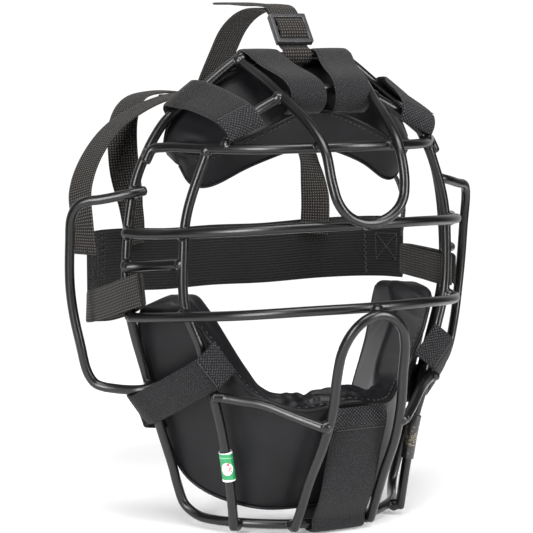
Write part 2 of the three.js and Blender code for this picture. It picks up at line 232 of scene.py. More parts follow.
def swept_faces(stations, around):
    """The faces over rings of points listed one after another, closed at both ends."""
    faces = []
    for i in range(stations - 1):
        for k in range(around):
            a, b = i * around + k, i * around + (k + 1) % around
            faces.append((a, b, b + around, a + around))
    faces.append(tuple(range(around))[::-1])
    faces.append(tuple(range((stations - 1) * around, stations * around)))
    return faces


def facing_out(o):
    bm = bmesh.new()
    bm.from_mesh(o.data)
    bmesh.ops.recalc_face_normals(bm, faces=bm.faces)
    bm.to_mesh(o.data)
    bm.free()
    return o


CAP_ANGLES, CAP_DEPTH = (80, 55, 30), 0.6


def tube(path, radius, sides=20, dome=True):
    """Vertices and faces of a round tube, with domed ends."""
    path = [Vector(p) for p in path]
    n = len(path)
    tangents = [(path[min(i + 1, n - 1)] - path[max(i - 1, 0)]).normalized() for i in range(n)]
    normal = tangents[0].orthogonal().normalized()
    stations = []
    for p, t in zip(path, tangents):
        normal = (normal - t * normal.dot(t)).normalized()
        stations.append((p, t, normal, radius))
    if dome:
        start, end = [], []
        for a in CAP_ANGLES:
            back, shrink = math.sin(math.radians(a)) * radius, math.cos(math.radians(a)) * radius
            p, t, m, _ = stations[0]
            start.append((p - t * back * CAP_DEPTH, t, m, shrink))
            p, t, m, _ = stations[-1]
            end.append((p + t * back * CAP_DEPTH, t, m, shrink))
        stations = start + stations + end[::-1]
    verts = []
    for p, t, m, r in stations:
        other = t.cross(m)
        for k in range(sides):
            a = 2 * math.pi * k / sides
            verts.append(p + (m * math.cos(a) + other * math.sin(a)) * r)
    return verts, swept_faces(len(stations), sides)


def merged(parts):
    """Several (vertices, faces) as one."""
    verts, faces = [], []
    for v, f in parts:
        start = len(verts)
        verts += v
        faces += [tuple(i + start for i in face) for face in f]
    return verts, faces


ACROSS = 10  # how many pieces a strap's width is cut into
BACK_UV = 50  # the back of a strap takes its weave this far from the front's


def ribbon(name, centres, sides, width, thick, per=4, crown=0.0, wave=0.0):
    """A flat strap with rounded selvedges. Its UV map runs in millimetres."""
    centres = smooth(centres, per)
    sides = [s.normalized() for s in smooth(sides, per)]
    run = lengths_along(centres)
    n = len(centres)
    verts, uv, profile = [], [], []
    # The section: each place across the width, with its share of the thickness.
    for k in range(ACROSS + 1):
        v = -1 + 2 * k / ACROSS
        v = math.copysign(1 - (1 - abs(v)) ** 1.5, v)
        profile.append((v, math.sqrt(max(0.0, 1 - abs(v) ** 14)) * 0.7 + 0.3 * (abs(v) < 0.999)))
    count = 2 * len(profile)
    for i, (c, side) in enumerate(zip(centres, sides)):
        along = (centres[min(i + 1, n - 1)] - centres[max(i - 1, 0)]).normalized()
        side = (side - along * side.dot(along)).normalized()
        up = side.cross(along)
        sway = wave * math.sin(run[i] / (9 * MM)) * math.sin(run[i] / (23 * MM) + 1)
        for face_side in (1, -1):
            order = profile if face_side == 1 else profile[::-1]
            for v, full in order:
                lift = up * (face_side * full * thick / 2 + crown * (1 - v * v) + sway)
                verts.append(c + side * (v * width / 2) + lift)
                uv.append((v * width / 2 / MM + (0 if face_side == 1 else BACK_UV), run[i] / MM))
    return facing_out(mesh_object(name, verts, swept_faces(n, count), uv))


def thread(places, length, radius=0.28 * MM):
    """Short stitches at (point, direction, lift)."""
    parts = []
    for p, d, up in places:
        half, raised = d.normalized() * length / 2, up * radius * 1.2
        path = [p - half, p - half / 2 + raised, p + half / 2 + raised, p + half]
        parts.append(tube(path, radius, 6, False))
    return merged(parts)


# ---- Materials -----------------------------------------------------------------------------

class Look:
    """A procedural material made of nodes around one Principled shader."""

    def __init__(self, name, colour, roughness, **more):
        self.material = bpy.data.materials.new(name)
        self.material.use_nodes = True
        self.nodes = self.material.node_tree.nodes
        self.links = self.material.node_tree.links
        self.shader = self.nodes["Principled BSDF"]
        self.set("Base Color", (*colour, 1))
        self.set("Roughness", roughness)
        for key, value in more.items():
            self.set(key.replace("_", " "), value)

    def set(self, name, value):
        self.shader.inputs[name].default_value = value

    def node(self, kind, links=(), **values):
        made = self.nodes.new(kind)
        for key, value in values.items():
            if hasattr(made, key):
                setattr(made, key, value)
            else:
                made.inputs[key.replace("_", " ")].default_value = value
        for socket, source in dict(links).items():
            self.links.new(source, made.inputs[socket])
        return made

    def place(self, kind="Object"):
        return self.node("ShaderNodeTexCoord").outputs[kind]

    def noise(self, scale, detail=3, place=None):
        links = {"Vector": place or self.place()}
        return self.node("ShaderNodeTexNoise", links, Scale=scale, Detail=detail).outputs["Fac"]

    def axes(self, place):
        return self.node("ShaderNodeSeparateXYZ", {"Vector": place}).outputs

    def waves(self, run, pitch):
        """A sine wave that repeats every pitch along run."""
        return self.math("SINE", self.math("MULTIPLY", run, 2 * math.pi / pitch))

    def math(self, operation, a, b=0.5):
        made = self.node("ShaderNodeMath", operation=operation)
        for i, x in enumerate((a, b)):
            if isinstance(x, (int, float)):
                made.inputs[i].default_value = x
            else:
                self.links.new(x, made.inputs[i])
        return made.outputs[0]

    def ramp(self, source, stops, to="Base Color"):
        made = self.node("ShaderNodeValToRGB", {"Fac": source})
        elements = made.color_ramp.elements
        while len(elements) < len(stops):
            elements.new(0.5)
        for element, (position, value) in zip(elements, stops):
            element.position = position
            element.color = (*value, 1)
        self.links.new(made.outputs["Color"], self.shader.inputs[to])

    def bump(self, height, strength, distance):
        """Adds a bump on top of the ones already there."""
        previous = self.shader.inputs["Normal"]
        made = self.node("ShaderNodeBump", {"Height": height}, Strength=strength, Distance=distance)
        if previous.is_linked:
            self.links.new(previous.links[0].from_socket, made.inputs["Normal"])
        self.links.new(made.outputs["Normal"], previous)


def grey(x):
    return (x, x, x)


def steel_look():
    look = Look("coated_steel", (0.003, 0.003, 0.003), 0.3, Specular_IOR_Level=0.45)
    look.ramp(look.noise(240, 4), [(0.3, grey(0.28)), (0.75, grey(0.34))], "Roughness")
    look.bump(look.noise(700, 2), 0.02, 0.0002)
    look.bump(look.noise(60, 2), 0.02, 0.001)
    return look.material


def leather_look():
    look = Look("synthetic_leather", (0.01, 0.01, 0.011), 0.4, Specular_IOR_Level=0.2)
    place = look.place()
    look.ramp(look.noise(14, 4, place), [(0.3, grey(0.36)), (0.75, grey(0.5))], "Roughness")
    colours = [(0.3, (0.004, 0.004, 0.0048)), (0.8, (0.0085, 0.0085, 0.0098))]
    look.ramp(look.noise(30, 3, place), colours)
    grain = look.node("ShaderNodeTexVoronoi", {"Vector": place}, Scale=900)
    look.bump(grain.outputs["Distance"], 0.12, 0.0003)
    look.bump(look.noise(45, 4, place), 0.14, 0.0016)
    return look.material


def loop_tape_look(name, coarse):
    look = Look(name, (0.02, 0.02, 0.022), 0.95, Specular_IOR_Level=0.2, Sheen_Weight=0.06)
    place = look.place("UV")
    axes = look.axes(place)
    pitch = 2.2 if coarse else 1.7
    grid = look.math("MULTIPLY", look.waves(axes["X"], pitch), look.waves(axes["Y"], pitch))
    fuzz = look.noise(1.3, 4, place)
    mix = look.math("ADD", look.math("MULTIPLY", grid, 0.24 if coarse else 0.16), fuzz)
    high = (0.066, 0.066, 0.07) if coarse else (0.05, 0.05, 0.054)
    look.ramp(mix, [(0.34, (0.003, 0.003, 0.0033)), (0.56, (0.0095, 0.0095, 0.0105)), (0.82, high)])
    look.bump(mix, 0.9, 0.0005)
    return look.material


def webbing_look():
    look = Look("webbing", (0.012, 0.01, 0.0085), 0.85, Specular_IOR_Level=0.25, Sheen_Weight=0.04)
    place = look.place("UV")
    axes = look.axes(place)
    weave = look.math("ADD", look.waves(axes["X"], 1.75), look.waves(axes["Y"], 1.9))
    rough = look.math("MULTIPLY", look.noise(3.5, 4, place), 0.35)
    mix = look.math("ADD", look.math("MULTIPLY", weave, 0.21), look.math("ADD", rough, 0.32))
    dots = (0.1, 0.09, 0.08)
    look.ramp(mix, [(0.3, (0.0045, 0.0038, 0.0034)), (0.66, (0.0105, 0.009, 0.008)), (0.88, dots)])
    look.bump(mix, 0.85, 0.0007)
    return look.material


def elastic_look():
    look = Look("elastic", (0.008, 0.0078, 0.0075), 0.9, Specular_IOR_Level=0.2, Sheen_Weight=0.04)
    place = look.place("UV")
    axes = look.axes(place)
    rib, tick = look.waves(axes["X"], 1.9), look.waves(axes["Y"], 1.4)
    mix = look.math("ADD", look.math("MULTIPLY", rib, 0.3), look.math("MULTIPLY", tick, 0.09))
    mix = look.math("ADD", mix, look.noise(0.9, 4, place))
    look.ramp(mix, [(0.2, (0.003,) * 3), (0.9, (0.016, 0.0155, 0.015))])
    look.bump(mix, 0.7, 0.0005)
    return look.material


def nylon_look():
    look = Look("grey_nylon", (0.022, 0.022, 0.024), 0.36)
    look.ramp(look.noise(160, 3), [(0.3, grey(0.3)), (0.8, grey(0.45))], "Roughness")
    look.bump(look.noise(900, 2), 0.15, 0.0002)
    return look.material


def thread_look():
    look = Look("thread", (0.03, 0.03, 0.032), 0.7)
    look.bump(look.noise(2500, 2), 0.5, 0.0002)
    return look.material


ROUNDEL_RADIUS = 4.1 * MM


def band_label_look(name, low, high, stops, roughness, speckle, roundel=None):
    """Bands of colour between two heights, with a plain flecked roundel on the green one."""
    look = Look(name, (0.5, 0.5, 0.5), roughness, Coat_Weight=0.3)
    place = look.place()
    share = look.math("DIVIDE", look.math("SUBTRACT", look.axes(place)["Z"], low), high - low)
    grain = look.noise(speckle, 3, place)
    wobble = look.math("MULTIPLY", look.math("SUBTRACT", grain, 0.5), 0.05 if roundel else 1.6)
    look.ramp(look.math("ADD", share, wobble), stops)
    if roundel:
        bands = look.shader.inputs["Base Color"].links[0].from_socket
        flecks = look.noise(900, 2, place)
        look.ramp(flecks, [(0.5, (0.72, 0.72, 0.7)), (0.58, (0.4, 0.03, 0.05))])
        disc = look.shader.inputs["Base Color"].links[0].from_socket
        gap = look.node("ShaderNodeVectorMath", {0: place}, operation="DISTANCE")
        gap.inputs[1].default_value = roundel
        inside = look.math("LESS_THAN", gap.outputs["Value"], ROUNDEL_RADIUS)
        mix = look.node("ShaderNodeMix", data_type="RGBA")
        look.links.new(inside, mix.inputs["Factor"])
        look.links.new(bands, mix.inputs[6])
        look.links.new(disc, mix.inputs[7])
        look.links.new(mix.outputs[2], look.shader.inputs["Base Color"])
    look.bump(look.noise(500, 2), 0.1, 0.0003)
    return look.material


STEEL = steel_look()
LEATHER = leather_look()
LOOP_TAPE = loop_tape_look("hook_and_loop", False)
COARSE_TAPE = loop_tape_look("coarse_tape", True)
WEBBING = webbing_look()
ELASTIC = elastic_look()
NYLON = nylon_look()
THREAD = thread_look()


def dress(o, material, body, slot, *nodes):
    """Gives a piece its material and the body that it rides on, and hides the nodes it stands for. The
    slot is not used.
    """
    o.data.materials.clear()
    o.data.materials.append(material)
    if nodes:
        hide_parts(*nodes)
    if body:
        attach(o, body)
    return o


# ---- The cage ------------------------------------------------------------------------------

RODS = ["side_hoop", "top_rod", "brow_bar", "eye_bar", "cheek_bar", "nose_loop", "chin_loop"]
RODS.append("arch_bridge")
PAIRED_RODS = "arch_spoke", "upright", "slot_bar", "ear_guard", "mouth_bar"
RODS += [f"{n}_{s}" for n in PAIRED_RODS for s in SIDES]
lines = {n: smooth(rod_line(n), 6) for n in RODS}
for node in RODS:
    verts, faces = tube(lines[node], ROD_RADIUS, 24)
    dress(mesh_object("rod_" + node, verts, faces), STEEL, "cage", "coated_steel", node)


TOUCH = 8.2 * MM  # rods whose middles come this near are welded
APART = 16 * MM  # two welds between the same rods are at least this far apart
BEAD_RADIUS, BEAD_REACH, BEAD_VOXEL = 3.9 * MM, 8.5 * MM, 0.55 * MM


def tree_of(path):
    tree = KDTree(len(path))
    for i, p in enumerate(path):
        tree.insert(p, i)
    tree.balance()
    return tree


def meetings():
    """Where two rods touch: (middle, first rod, second rod)."""
    trees = {n: tree_of(path) for n, path in lines.items()}
    found = []
    for a, b in itertools.combinations(RODS, 2):
        gaps = [(trees[b].find(p)[2], i) for i, p in enumerate(lines[a])]
        near = [g for g in gaps if g[0] < TOUCH]
        while near:
            _, i = min(near)
            p = lines[a][i]
            q, _, _ = trees[b].find(p)
            found.append(((p + q) / 2, a, b))
            near = [g for g in near if (lines[a][g[1]] - p).length > APART]
    return found


def weld(middle, a, b):
    """A bead fused with the short stretches of both rods."""
    parts = []
    for n in (a, b):
        run = [p for p in lines[n] if (p - middle).length < BEAD_REACH]
        if len(run) > 1:
            parts.append(tube(run, ROD_RADIUS * 0.99, 16))
    bead = bmesh.new()
    bmesh.ops.create_icosphere(bead, subdivisions=3, radius=BEAD_RADIUS)
    verts = [v.co + middle for v in bead.verts]
    faces = [tuple(v.index for v in f.verts) for f in bead.faces]
    bead.free()
    o = mesh_object("weld", *merged([*parts, (verts, faces)]))
    modifier = o.modifiers.new("fuse", "REMESH")
    modifier.mode, modifier.voxel_size = "VOXEL", BEAD_VOXEL
    soften = o.modifiers.new("soften", "SMOOTH")
    soften.factor, soften.iterations = 0.5, 9
    return baked(o)


def baked(o):
    """The object with its modifiers applied."""
    bpy.context.view_layer.update()
    evaluated = o.evaluated_get(bpy.context.evaluated_depsgraph_get())
    mesh = bpy.data.meshes.new_from_object(evaluated)
    o.modifiers.clear()
    o.data = mesh
    for polygon in mesh.polygons:
        polygon.use_smooth = True
    return o


def joined(name, objects):
    parts = []
    for o in objects:
        verts = [v.co.copy() for v in o.data.vertices]
        parts.append((verts, [tuple(p.vertices) for p in o.data.polygons]))
        bpy.data.objects.remove(o)
    return mesh_object(name, *merged(parts))


welds = [weld(*m) for m in meetings()]
dress(joined("welds", welds), STEEL, "cage", "coated_steel")

# ---- The liners ----------------------------------------------------------------------------
# Half rails in millimetres from the end to the middle: the outer edge, the piped front seam, the
# front edge of the face side and the rear edge of the face side.
BROW_RAILS = [
    [(-86, 3, 63), (-81, 6, 76), (-66, 7, 92), (-40, 8, 107), (0, 8, 113.5)],
    [(-82, -9, 59), (-75, -17, 57), (-62, -28, 60), (-38, -36, 72), (0, -36, 85)],
    [(-78, -3, 50), (-72, -7, 39), (-60, -12, 38), (-36, -22, 51), (0, -27, 61)],
    [(-80, 10, 56), (-73, 15, 60), (-60, 17, 68), (-34, 19, 82), (0, 19, 89)],
]
JAW_RAILS = [
    [(-104, 4, -41), (-99.5, 6, -75), (-87.5, 6, -113), (-72, -3, -148.5), (-43, -37, -161),
     (0, -49, -160)],
    [(-86, -30, -37), (-73, -42, -56), (-62, -46, -73), (-48, -54, -88), (-27, -75, -94),
     (0, -82, -89)],
    [(-66, -9, -32), (-61, -24, -46), (-46, -32, -73), (-37, -41, -86), (-23, -60, -86),
     (0, -67, -81)],
    [(-72, 20, -36), (-65, 20, -72), (-51, 15, -108), (-43, 1, -134), (-30, -18, -143),
     (0, -28, -141)],
]


def rail_curve(half):
    whole = [Vector(p) * MM for p in half]
    whole += [Vector((-p.x, p.y, p.z)) for p in whole[-2::-1]]
    return smooth(whole, 12)


# How many pieces each panel is cut into: front panel, seam strip, face side, outer side.
PANEL_CUTS = (12, 6, 10, 6)
SEAM_PLACES = [sum(PANEL_CUTS[:k]) for k in range(4)]
# Each end closes over a low dome: (share of the ring's size, share of the dome's height).
DOME = ((0.95, 0.35), (0.8, 0.75), (0.52, 0.96), (0.2, 1.0))


def liner_shell(name, rails, dome, creases):
    """The cover stretched between four rails, with its seams in the vertex group of that name."""
    curves = [rail_curve(r) for r in rails]
    body = []
    for corners in zip(*curves):
        ring = []
        for k, cuts in enumerate(PANEL_CUTS):
            ring += [corners[k].lerp(corners[(k + 1) % 4], step / cuts) for step in range(cuts)]
        body.append(ring)
    caps = []
    for ring, inner in ((body[0], body[3]), (body[-1], body[-4])):
        middle = mean(ring)
        away = (middle - mean(inner)).normalized() * dome
        caps.append([[middle + (p - middle) * size + away * rise for p in ring] for size, rise in DOME])
    stations = caps[0][::-1] + body + caps[1]
    around = len(stations[0])
    verts = [p for ring in stations for p in ring]
    o = facing_out(mesh_object(name, verts, swept_faces(len(stations), around)))
    seams = o.vertex_groups.new(name="seams")
    rows = range(len(DOME), len(DOME) + len(body))
    on_seam = {i * around + k for i in rows for k in SEAM_PLACES}
    seams.add(sorted(on_seam), 1.0, "REPLACE")
    crease = o.data.attributes.new("crease_edge", "FLOAT", "EDGE")
    for edge in o.data.edges:
        a, b = edge.vertices
        if a in on_seam and b in on_seam and abs(a - b) == around:
            crease.data[edge.index].value = creases[SEAM_PLACES.index(a % around)]
    return o, curves


def on_surface(o, path, lift):
    """The path laid on the cover, lifted off it a little."""
    tree = BVHTree.FromObject(o, bpy.context.evaluated_depsgraph_get())
    out = []
    for p in path:
        hit, normal, _, _ = tree.find_nearest(p)
        out.append(hit + normal * lift)
    for _ in range(4):
        out = [out[0], *[(a + 2 * b + c) / 4 for a, b, c in zip(out, out[1:], out[2:])], out[-1]]
    return out


def per_point(o, what):
    out = np.empty(len(o.data.vertices) * 3)
    o.data.vertices.foreach_get(what, out)
    return out.reshape(-1, 3)


def coords(o):
    return per_point(o, "co")


def normals(o):
    return per_point(o, "normal")


def set_coords(o, co):
    o.data.vertices.foreach_set("co", co.ravel())
    o.data.update()


CLOTH_STEPS, CLOTH_PRESSURE, MOST_SWELL = 20, 5.0, 4 * MM


def inflate(o, pressure, cap):
    """The cover swells under pressure; no point moves further than cap."""
    rest = coords(o)
    modifier = o.modifiers.new("cloth", "CLOTH")
    cloth = modifier.settings
    cloth.quality, cloth.mass = 6, 0.3
    cloth.use_pressure, cloth.uniform_pressure_force = True, pressure
    cloth.tension_stiffness = cloth.compression_stiffness = 12
    cloth.bending_stiffness = 0.6
    cloth.vertex_group_mass = "seams"
    cloth.effector_weights.gravity = 0
    modifier.point_cache.frame_start, modifier.point_cache.frame_end = 1, CLOTH_STEPS
    scene = bpy.context.scene
    scene.frame_start, scene.frame_end = 1, CLOTH_STEPS
    for number in range(1, CLOTH_STEPS + 1):
        scene.frame_set(number)
    evaluated = o.evaluated_get(bpy.context.evaluated_depsgraph_get())
    moved = coords(evaluated)
    o.modifiers.clear()
    shift = moved - rest
    size = np.maximum(np.linalg.norm(shift, axis=1, keepdims=True), 1e-9)
    set_coords(o, rest + shift * np.minimum(1, cap / size))
    scene.frame_set(1)


def nearest(path, co):
    """For each point, the nearest point of the path and its distance."""
    tree = tree_of(path)
    found = [tree.find(Vector(c)) for c in co]
    return np.array([tuple(f[0]) for f in found]), np.array([f[2] for f in found])


def seam_groove(o, path, depth, reach):
    """The stitched seam pulls the cover in."""
    co = coords(o)
    _, gap = nearest(smooth(path, 3), co)
    set_coords(o, co - normals(o) * (depth * np.exp(-((gap / reach) ** 2)))[:, None])


def clear_of_rods(o, room):
    """The rods press into the cover."""
    for _ in range(2):
        co = coords(o)
        out = normals(o)
        for path in lines.values():
            _, gap = nearest(path, co)
            push = np.clip(ROD_RADIUS + room - gap, 0, None)
            co = co - out * (push * 1.05)[:, None]
        set_coords(o, co)


def wrinkle(o, middle, across, reach, depth, waves):
    """A few parallel creases, fading out from the middle."""
    co = coords(o)
    middle, across = np.array(middle) * MM, np.array(Vector(across).normalized())
    rel = co - middle
    run = rel @ across
    fade = np.exp(-((np.linalg.norm(rel, axis=1) / (reach * MM)) ** 2))
    bend = 0.25 * reach * MM * np.sin(np.linalg.norm(rel, axis=1) / (reach * MM) * 2)
    lift = np.sin((run + bend) / (reach * MM) * math.pi * waves) * depth * MM * fade
    set_coords(o, co + normals(o) * lift[:, None])


def liner(name, rails, dome, creases):
    """A swollen cover, subdivided once, and the curves of its rails."""
    o, curves = liner_shell("liner_" + name, rails, dome, creases)
    inflate(o, CLOTH_PRESSURE, MOST_SWELL)
    finer = o.modifiers.new("finer", "SUBSURF")
    finer.levels = finer.render_levels = 1
    baked(o)
    return o, curves


def under_straps(o, straps):
    """The cover lies below each strap that crosses it."""
    for centres, sides, width in straps:
        centres, sides = smooth(centres, 4), smooth(sides, 4)
        co, out = coords(o), normals(o)
        for i in range(len(centres) - 1):
            middle, side = np.array(centres[i]), np.array(sides[i].normalized())
            along = np.array((centres[i + 1] - centres[i]).normalized())
            up = np.cross(side, along)
            rel = co - middle
            near = np.abs(rel @ along) < 2.5 * MM
            lateral = np.abs(rel @ side) - width / 2
            fade = np.clip(1 - lateral / (4 * MM), 0, 1)
            sign = np.sign(out @ up)
            height = (rel @ up) * sign
            near &= np.abs(height) < 6 * MM
            push = np.where(near, np.clip(height + 1.5 * MM, 0, None), 0) * fade
            co = co - up * (push * sign)[:, None]
        set_coords(o, co)


def piping(name, o, path, radius):
    """A cord along a seam, held clear of the rods."""
    laid = np.array([tuple(p) for p in on_surface(o, path, radius * 0.2)])
    for line in lines.values():
        closest, gap = nearest(line, laid)
        away = laid - closest
        push = np.clip(ROD_RADIUS + radius + 0.3 * MM - gap, 0, None)
        laid = laid + away / np.maximum(gap, 1e-9)[:, None] * push[:, None]
    pipe = mesh_object(name, *tube([Vector(p) for p in laid], radius, 12))
    return dress(pipe, LEATHER, "cage", "synthetic_leather")


def seam_stitches(o, seam, towards, offset, step, length):
    """A row of stitches on the cover, beside a seam on the side of a neighbouring one."""
    tree = BVHTree.FromObject(o, bpy.context.evaluated_depsgraph_get())
    run = lengths_along(seam)
    places, due = [], 4 * step
    for i in range(1, len(seam) - 1):
        if run[i] >= due and run[i] < run[-1] - 4 * step:
            due = run[i] + step
            beside = seam[i] + (towards[i] - seam[i]).normalized() * offset
            hit, normal, _, _ = tree.find_nearest(beside)
            places.append((hit + normal * 0.15 * MM, seam[i + 1] - seam[i - 1], normal))
    return thread(places, length, 0.35 * MM)


# Each strap's width in millimetres, its sewn node and its flap node.
PAD_STRAPS = {
    f"{place}_{side}": (width, f"{place}_strap_{side}", f"{place}_flap_{side}")
    for place, width in (("inner_brow", 24), ("outer_brow", 25), ("cheek", 24))
    for side in SIDES
}
PAD_STRAPS["chin"] = 37, "chin_strap", "chin_flap"
crossing = []
for width, *nodes in PAD_STRAPS.values():
    crossing += [(*strap_line(node, width, PAD_STRAP_THICK), width * MM) for node in nodes]

# The creases are those of the outer edge, the front seam and the face side's two edges.
brow, brow_curves = liner("brow", BROW_RAILS, 2 * MM, (0.6, 0.6, 0.6, 0.6))
jaw, jaw_curves = liner("jaw", JAW_RAILS, 6 * MM, (0.6, 0.6, 0.1, 0.4))
for cover, curves in ((brow, brow_curves), (jaw, jaw_curves)):
    for curve in curves[:2]:
        seam_groove(cover, curve, 0.4 * MM, 1.8 * MM)
# Middle, direction across the creases, reach, depth and number of waves.
BROW_WRINKLES = [
    ((-76, -14, 62), (0.3, 0, 1), 11, 0.7, 2.2),
    ((0, -32, 86), (1, 0, 0), 9, 0.6, 2),
]
JAW_WRINKLES = [
    ((24, -64, -89), (-0.5, 0.85, 0.1), 16, 1.0, 4),
    ((-33, -59, -89), (0.8, 0.6, 0.1), 15, 1.5, 4.6),
    ((-16, -70, -88), (0.45, 0.9, 0.15), 15, 1.5, 4.2),
    ((-26, -66, -90), (0.95, -0.3, 0.1), 11, 0.8, 2.6),
    ((3, -74, -86), (0.1, 1, 0.3), 12, 1.1, 3),
    ((-76, -24, -38), (1, 0.3, 0), 12, 1.1, 2),
    ((76, -24, -38), (1, 0.3, 0), 12, 0.8, 2),
]
for cover, wrinkles in ((brow, BROW_WRINKLES), (jaw, JAW_WRINKLES)):
    for values in wrinkles:
        wrinkle(cover, *values)
for cover in (brow, jaw):
    clear_of_rods(cover, 0.5 * MM)
    under_straps(cover, crossing)

for name, cover, curves in (("brow", brow, brow_curves), ("jaw", jaw, jaw_curves)):
    nodes = [f"{name}_liner_{part}" for part in ("front_cover", "foam", "face_cover")]
    dress(cover, LEATHER, "cage", "synthetic_leather", *nodes)
    piping(f"{name}_outer_piping", cover, curves[0], 0.9 * MM)
    piping(f"{name}_front_piping", cover, curves[1], 1.2 * MM)
    if name == "brow":
        piping("brow_face_piping", cover, curves[2], 0.8 * MM)
    piping(f"{name}_rear_piping", cover, curves[3], 0.8 * MM)
    stitches = seam_stitches(cover, curves[1], curves[2], 3 * MM, 3.2 * MM, 1.9 * MM)
    dress(mesh_object(f"{name}_seam_stitches", *stitches), THREAD, "cage", "synthetic_leather")

# ---- Straps --------------------------------------------------------------------------------

def heading(line, point):
    """The line turned round where needed, so that it starts at the end nearer the point."""
    centres, sides = line
    if (centres[-1] - point).length < (centres[0] - point).length:
        return centres[::-1], [-s for s in sides[::-1]]
    return line


def fitted_sides(sides):
    """The width directions turned where needed, so that each agrees with the one before."""
    out = [sides[0]]
    for s in sides[1:]:
        out.append(s if s.dot(out[-1]) > 0 else -s)
    return out


INNER_SPREAD, SPREAD_REACH = 3 * MM, 22 * MM  # the inner straps' sewn ends stand apart
SEWN_END = 15 * MM  # length of the second layer of tape on a sewn end
TAPE_THICK = 1.0 * MM
FRONTWARDS = Vector((0, -1, 0.3))


def sewn_end(name, width, centres, sides, runs):
    """Stitches across the sewn end, over a second layer of tape except on the inner straps."""
    patch = [c for c, run in zip(centres, runs) if run < SEWN_END]
    ups = []
    for i, c in enumerate(patch):
        up = sides[i].cross((centres[i + 1] - c).normalized())
        ups.append(up if up.dot(FRONTWARDS) > 0 else -up)
    if name.startswith("inner"):
        row = patch[0] + (patch[1] - patch[0]).normalized() * 3 * MM + ups[0] * 1.05 * MM
    else:
        raised = [c + u * TAPE_THICK for c, u in zip(patch, ups)]
        row = raised[-1] + ups[-1] * 0.62 * MM
        tape = ribbon("sewn_end_" + name, raised, sides[:len(patch)], (width - 0.6) * MM, TAPE_THICK)
        dress(tape, COARSE_TAPE, "cage", "hook_and_loop")
    places = [(row + sides[0] * (k * width * MM / 26), sides[0], ups[-1]) for k in range(-11, 12)]
    dress(mesh_object("stitches_" + name, *thread(places, 1.0 * MM)), THREAD, "cage", "hook_and_loop")


def folding_strap(name, width, sewn_node, flap_node):
    """One strap, sewn to a liner at its start and bending at the fold where its flap begins."""
    sewn = strap_line(sewn_node, width, PAD_STRAP_THICK)
    flap = strap_line(flap_node, width, PAD_STRAP_THICK)
    gaps = [(a - b).length for a in (sewn[0][0], sewn[0][-1]) for b in (flap[0][0], flap[0][-1])]
    if gaps.index(min(gaps)) < 2:
        sewn = sewn[0][::-1], sewn[1][::-1]
    flap = heading(flap, sewn[0][-1])
    centres = sewn[0] + flap[0][1:]
    sides = fitted_sides(sewn[1] + flap[1][1:])
    if name.startswith("inner"):
        outward = Vector((math.copysign(INNER_SPREAD, sewn[0][0].x), 0, 0))
        fades = [math.exp(-((run / SPREAD_REACH) ** 2)) for run in lengths_along(centres)]
        centres = [c + outward * fade for c, fade in zip(centres, fades)]
    thick = PAD_STRAP_THICK * MM
    o = ribbon("strap_" + name, centres, sides, width * MM, thick, 4, 0.25 * MM, 0.12 * MM)
    dress(o, LOOP_TAPE, None, "hook_and_loop", sewn_node, flap_node)
    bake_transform(o)
    sewn_end(name, width, centres, sides, lengths_along(sewn[0]))


for strap_name, (strap_width, sewn_name, flap_name) in PAD_STRAPS.items():
    folding_strap(strap_name, strap_width, sewn_name, flap_name)

# ---- The harness ---------------------------------------------------------------------------

def drooping(centres, sides, steep, flat):
    """The strap bent down from one slope at its front to another at its rear."""
    front = min(c.y for c in centres)
    length = max(c.y for c in centres) - front
    bent, turned = [], []
    for c, side in zip(centres, sides):
        share = (c.y - front) / length
        slope = math.tan(steep) * share + (math.tan(flat) - math.tan(steep)) * share ** 2 / 2
        bent.append(c + Vector((0, 0, length * slope + DROOP_LIFT)))
        turned.append(Matrix.Rotation(steep + (flat - steep) * share, 3, "X") @ side)
    return bent, turned


def rebuilt(node, size, material, body, slot, per=4, wave=0.0, droop=None, reach=0):
    """A strap of the frame as a ribbon, with each end carried on by reach."""
    width, thick = size
    centres, sides = strap_line(node, width, thick)
    sides = fitted_sides(sides)
    if reach:
        first = centres[0] + (centres[0] - centres[1]).normalized() * reach
        last = centres[-1] + (centres[-1] - centres[-2]).normalized() * reach
        centres, sides = [first, *centres, last], [sides[0], *sides, sides[-1]]
    if droop:
        centres, sides = drooping(centres, sides, *droop)
    o = ribbon("soft_" + node, centres, sides, width * MM, thick * MM, per, 0, wave * MM)
    dress(o, material, body, slot, node)
    return centres, sides


HEAD_MIDDLE = Vector((0, 0.03, 0))
LEFT_DROOP, DROOP_LIFT = (math.radians(-12), math.radians(10)), 0.6 * MM
STITCH, STITCH_RADIUS = 2.4, 0.3 * MM


def on_strap(line, run, across, lift):
    """A point on the inner face of a strap, so far along it and across it."""
    centres, sides = smooth(line[0], 4), smooth(line[1], 4)
    along = lengths_along(centres)
    run = run if run >= 0 else along[-1] + run
    i = max(k for k, length in enumerate(along[:-1]) if length <= run)
    share = (run - along[i]) / (along[i + 1] - along[i])
    middle, side = centres[i].lerp(centres[i + 1], share), sides[i].normalized()
    up = side.cross((centres[i + 1] - centres[i]).normalized())
    if up.dot(HEAD_MIDDLE - middle) < 0:
        up = -up
    return middle + side * across + up * lift


def band_sewing(name, points):
    """Thread lines over the elastic band through points (run, across) in millimetres."""
    parts = []
    lift = ELASTIC_SIZE[1] / 2 * MM
    for (a, b), (c, d) in zip(points, points[1:]):
        steps = max(1, round(math.hypot(c - a, d - b) / STITCH))
        for k in range(steps):
            ends = [(k + 0.12) / steps, (k + 0.88) / steps]
            p, q = (
                on_strap(band_line, (a + (c - a) * t) * MM, (b + (d - b) * t) * MM, lift)
                for t in ends
            )
            up = (HEAD_MIDDLE - p).normalized() * 0.35 * MM
            path = [p, p.lerp(q, 0.25) + up, p.lerp(q, 0.75) + up, q]
            parts.append(tube(path, STITCH_RADIUS, 6, False))
    dress(mesh_object(name, *merged(parts)), THREAD, "harness", "elastic")


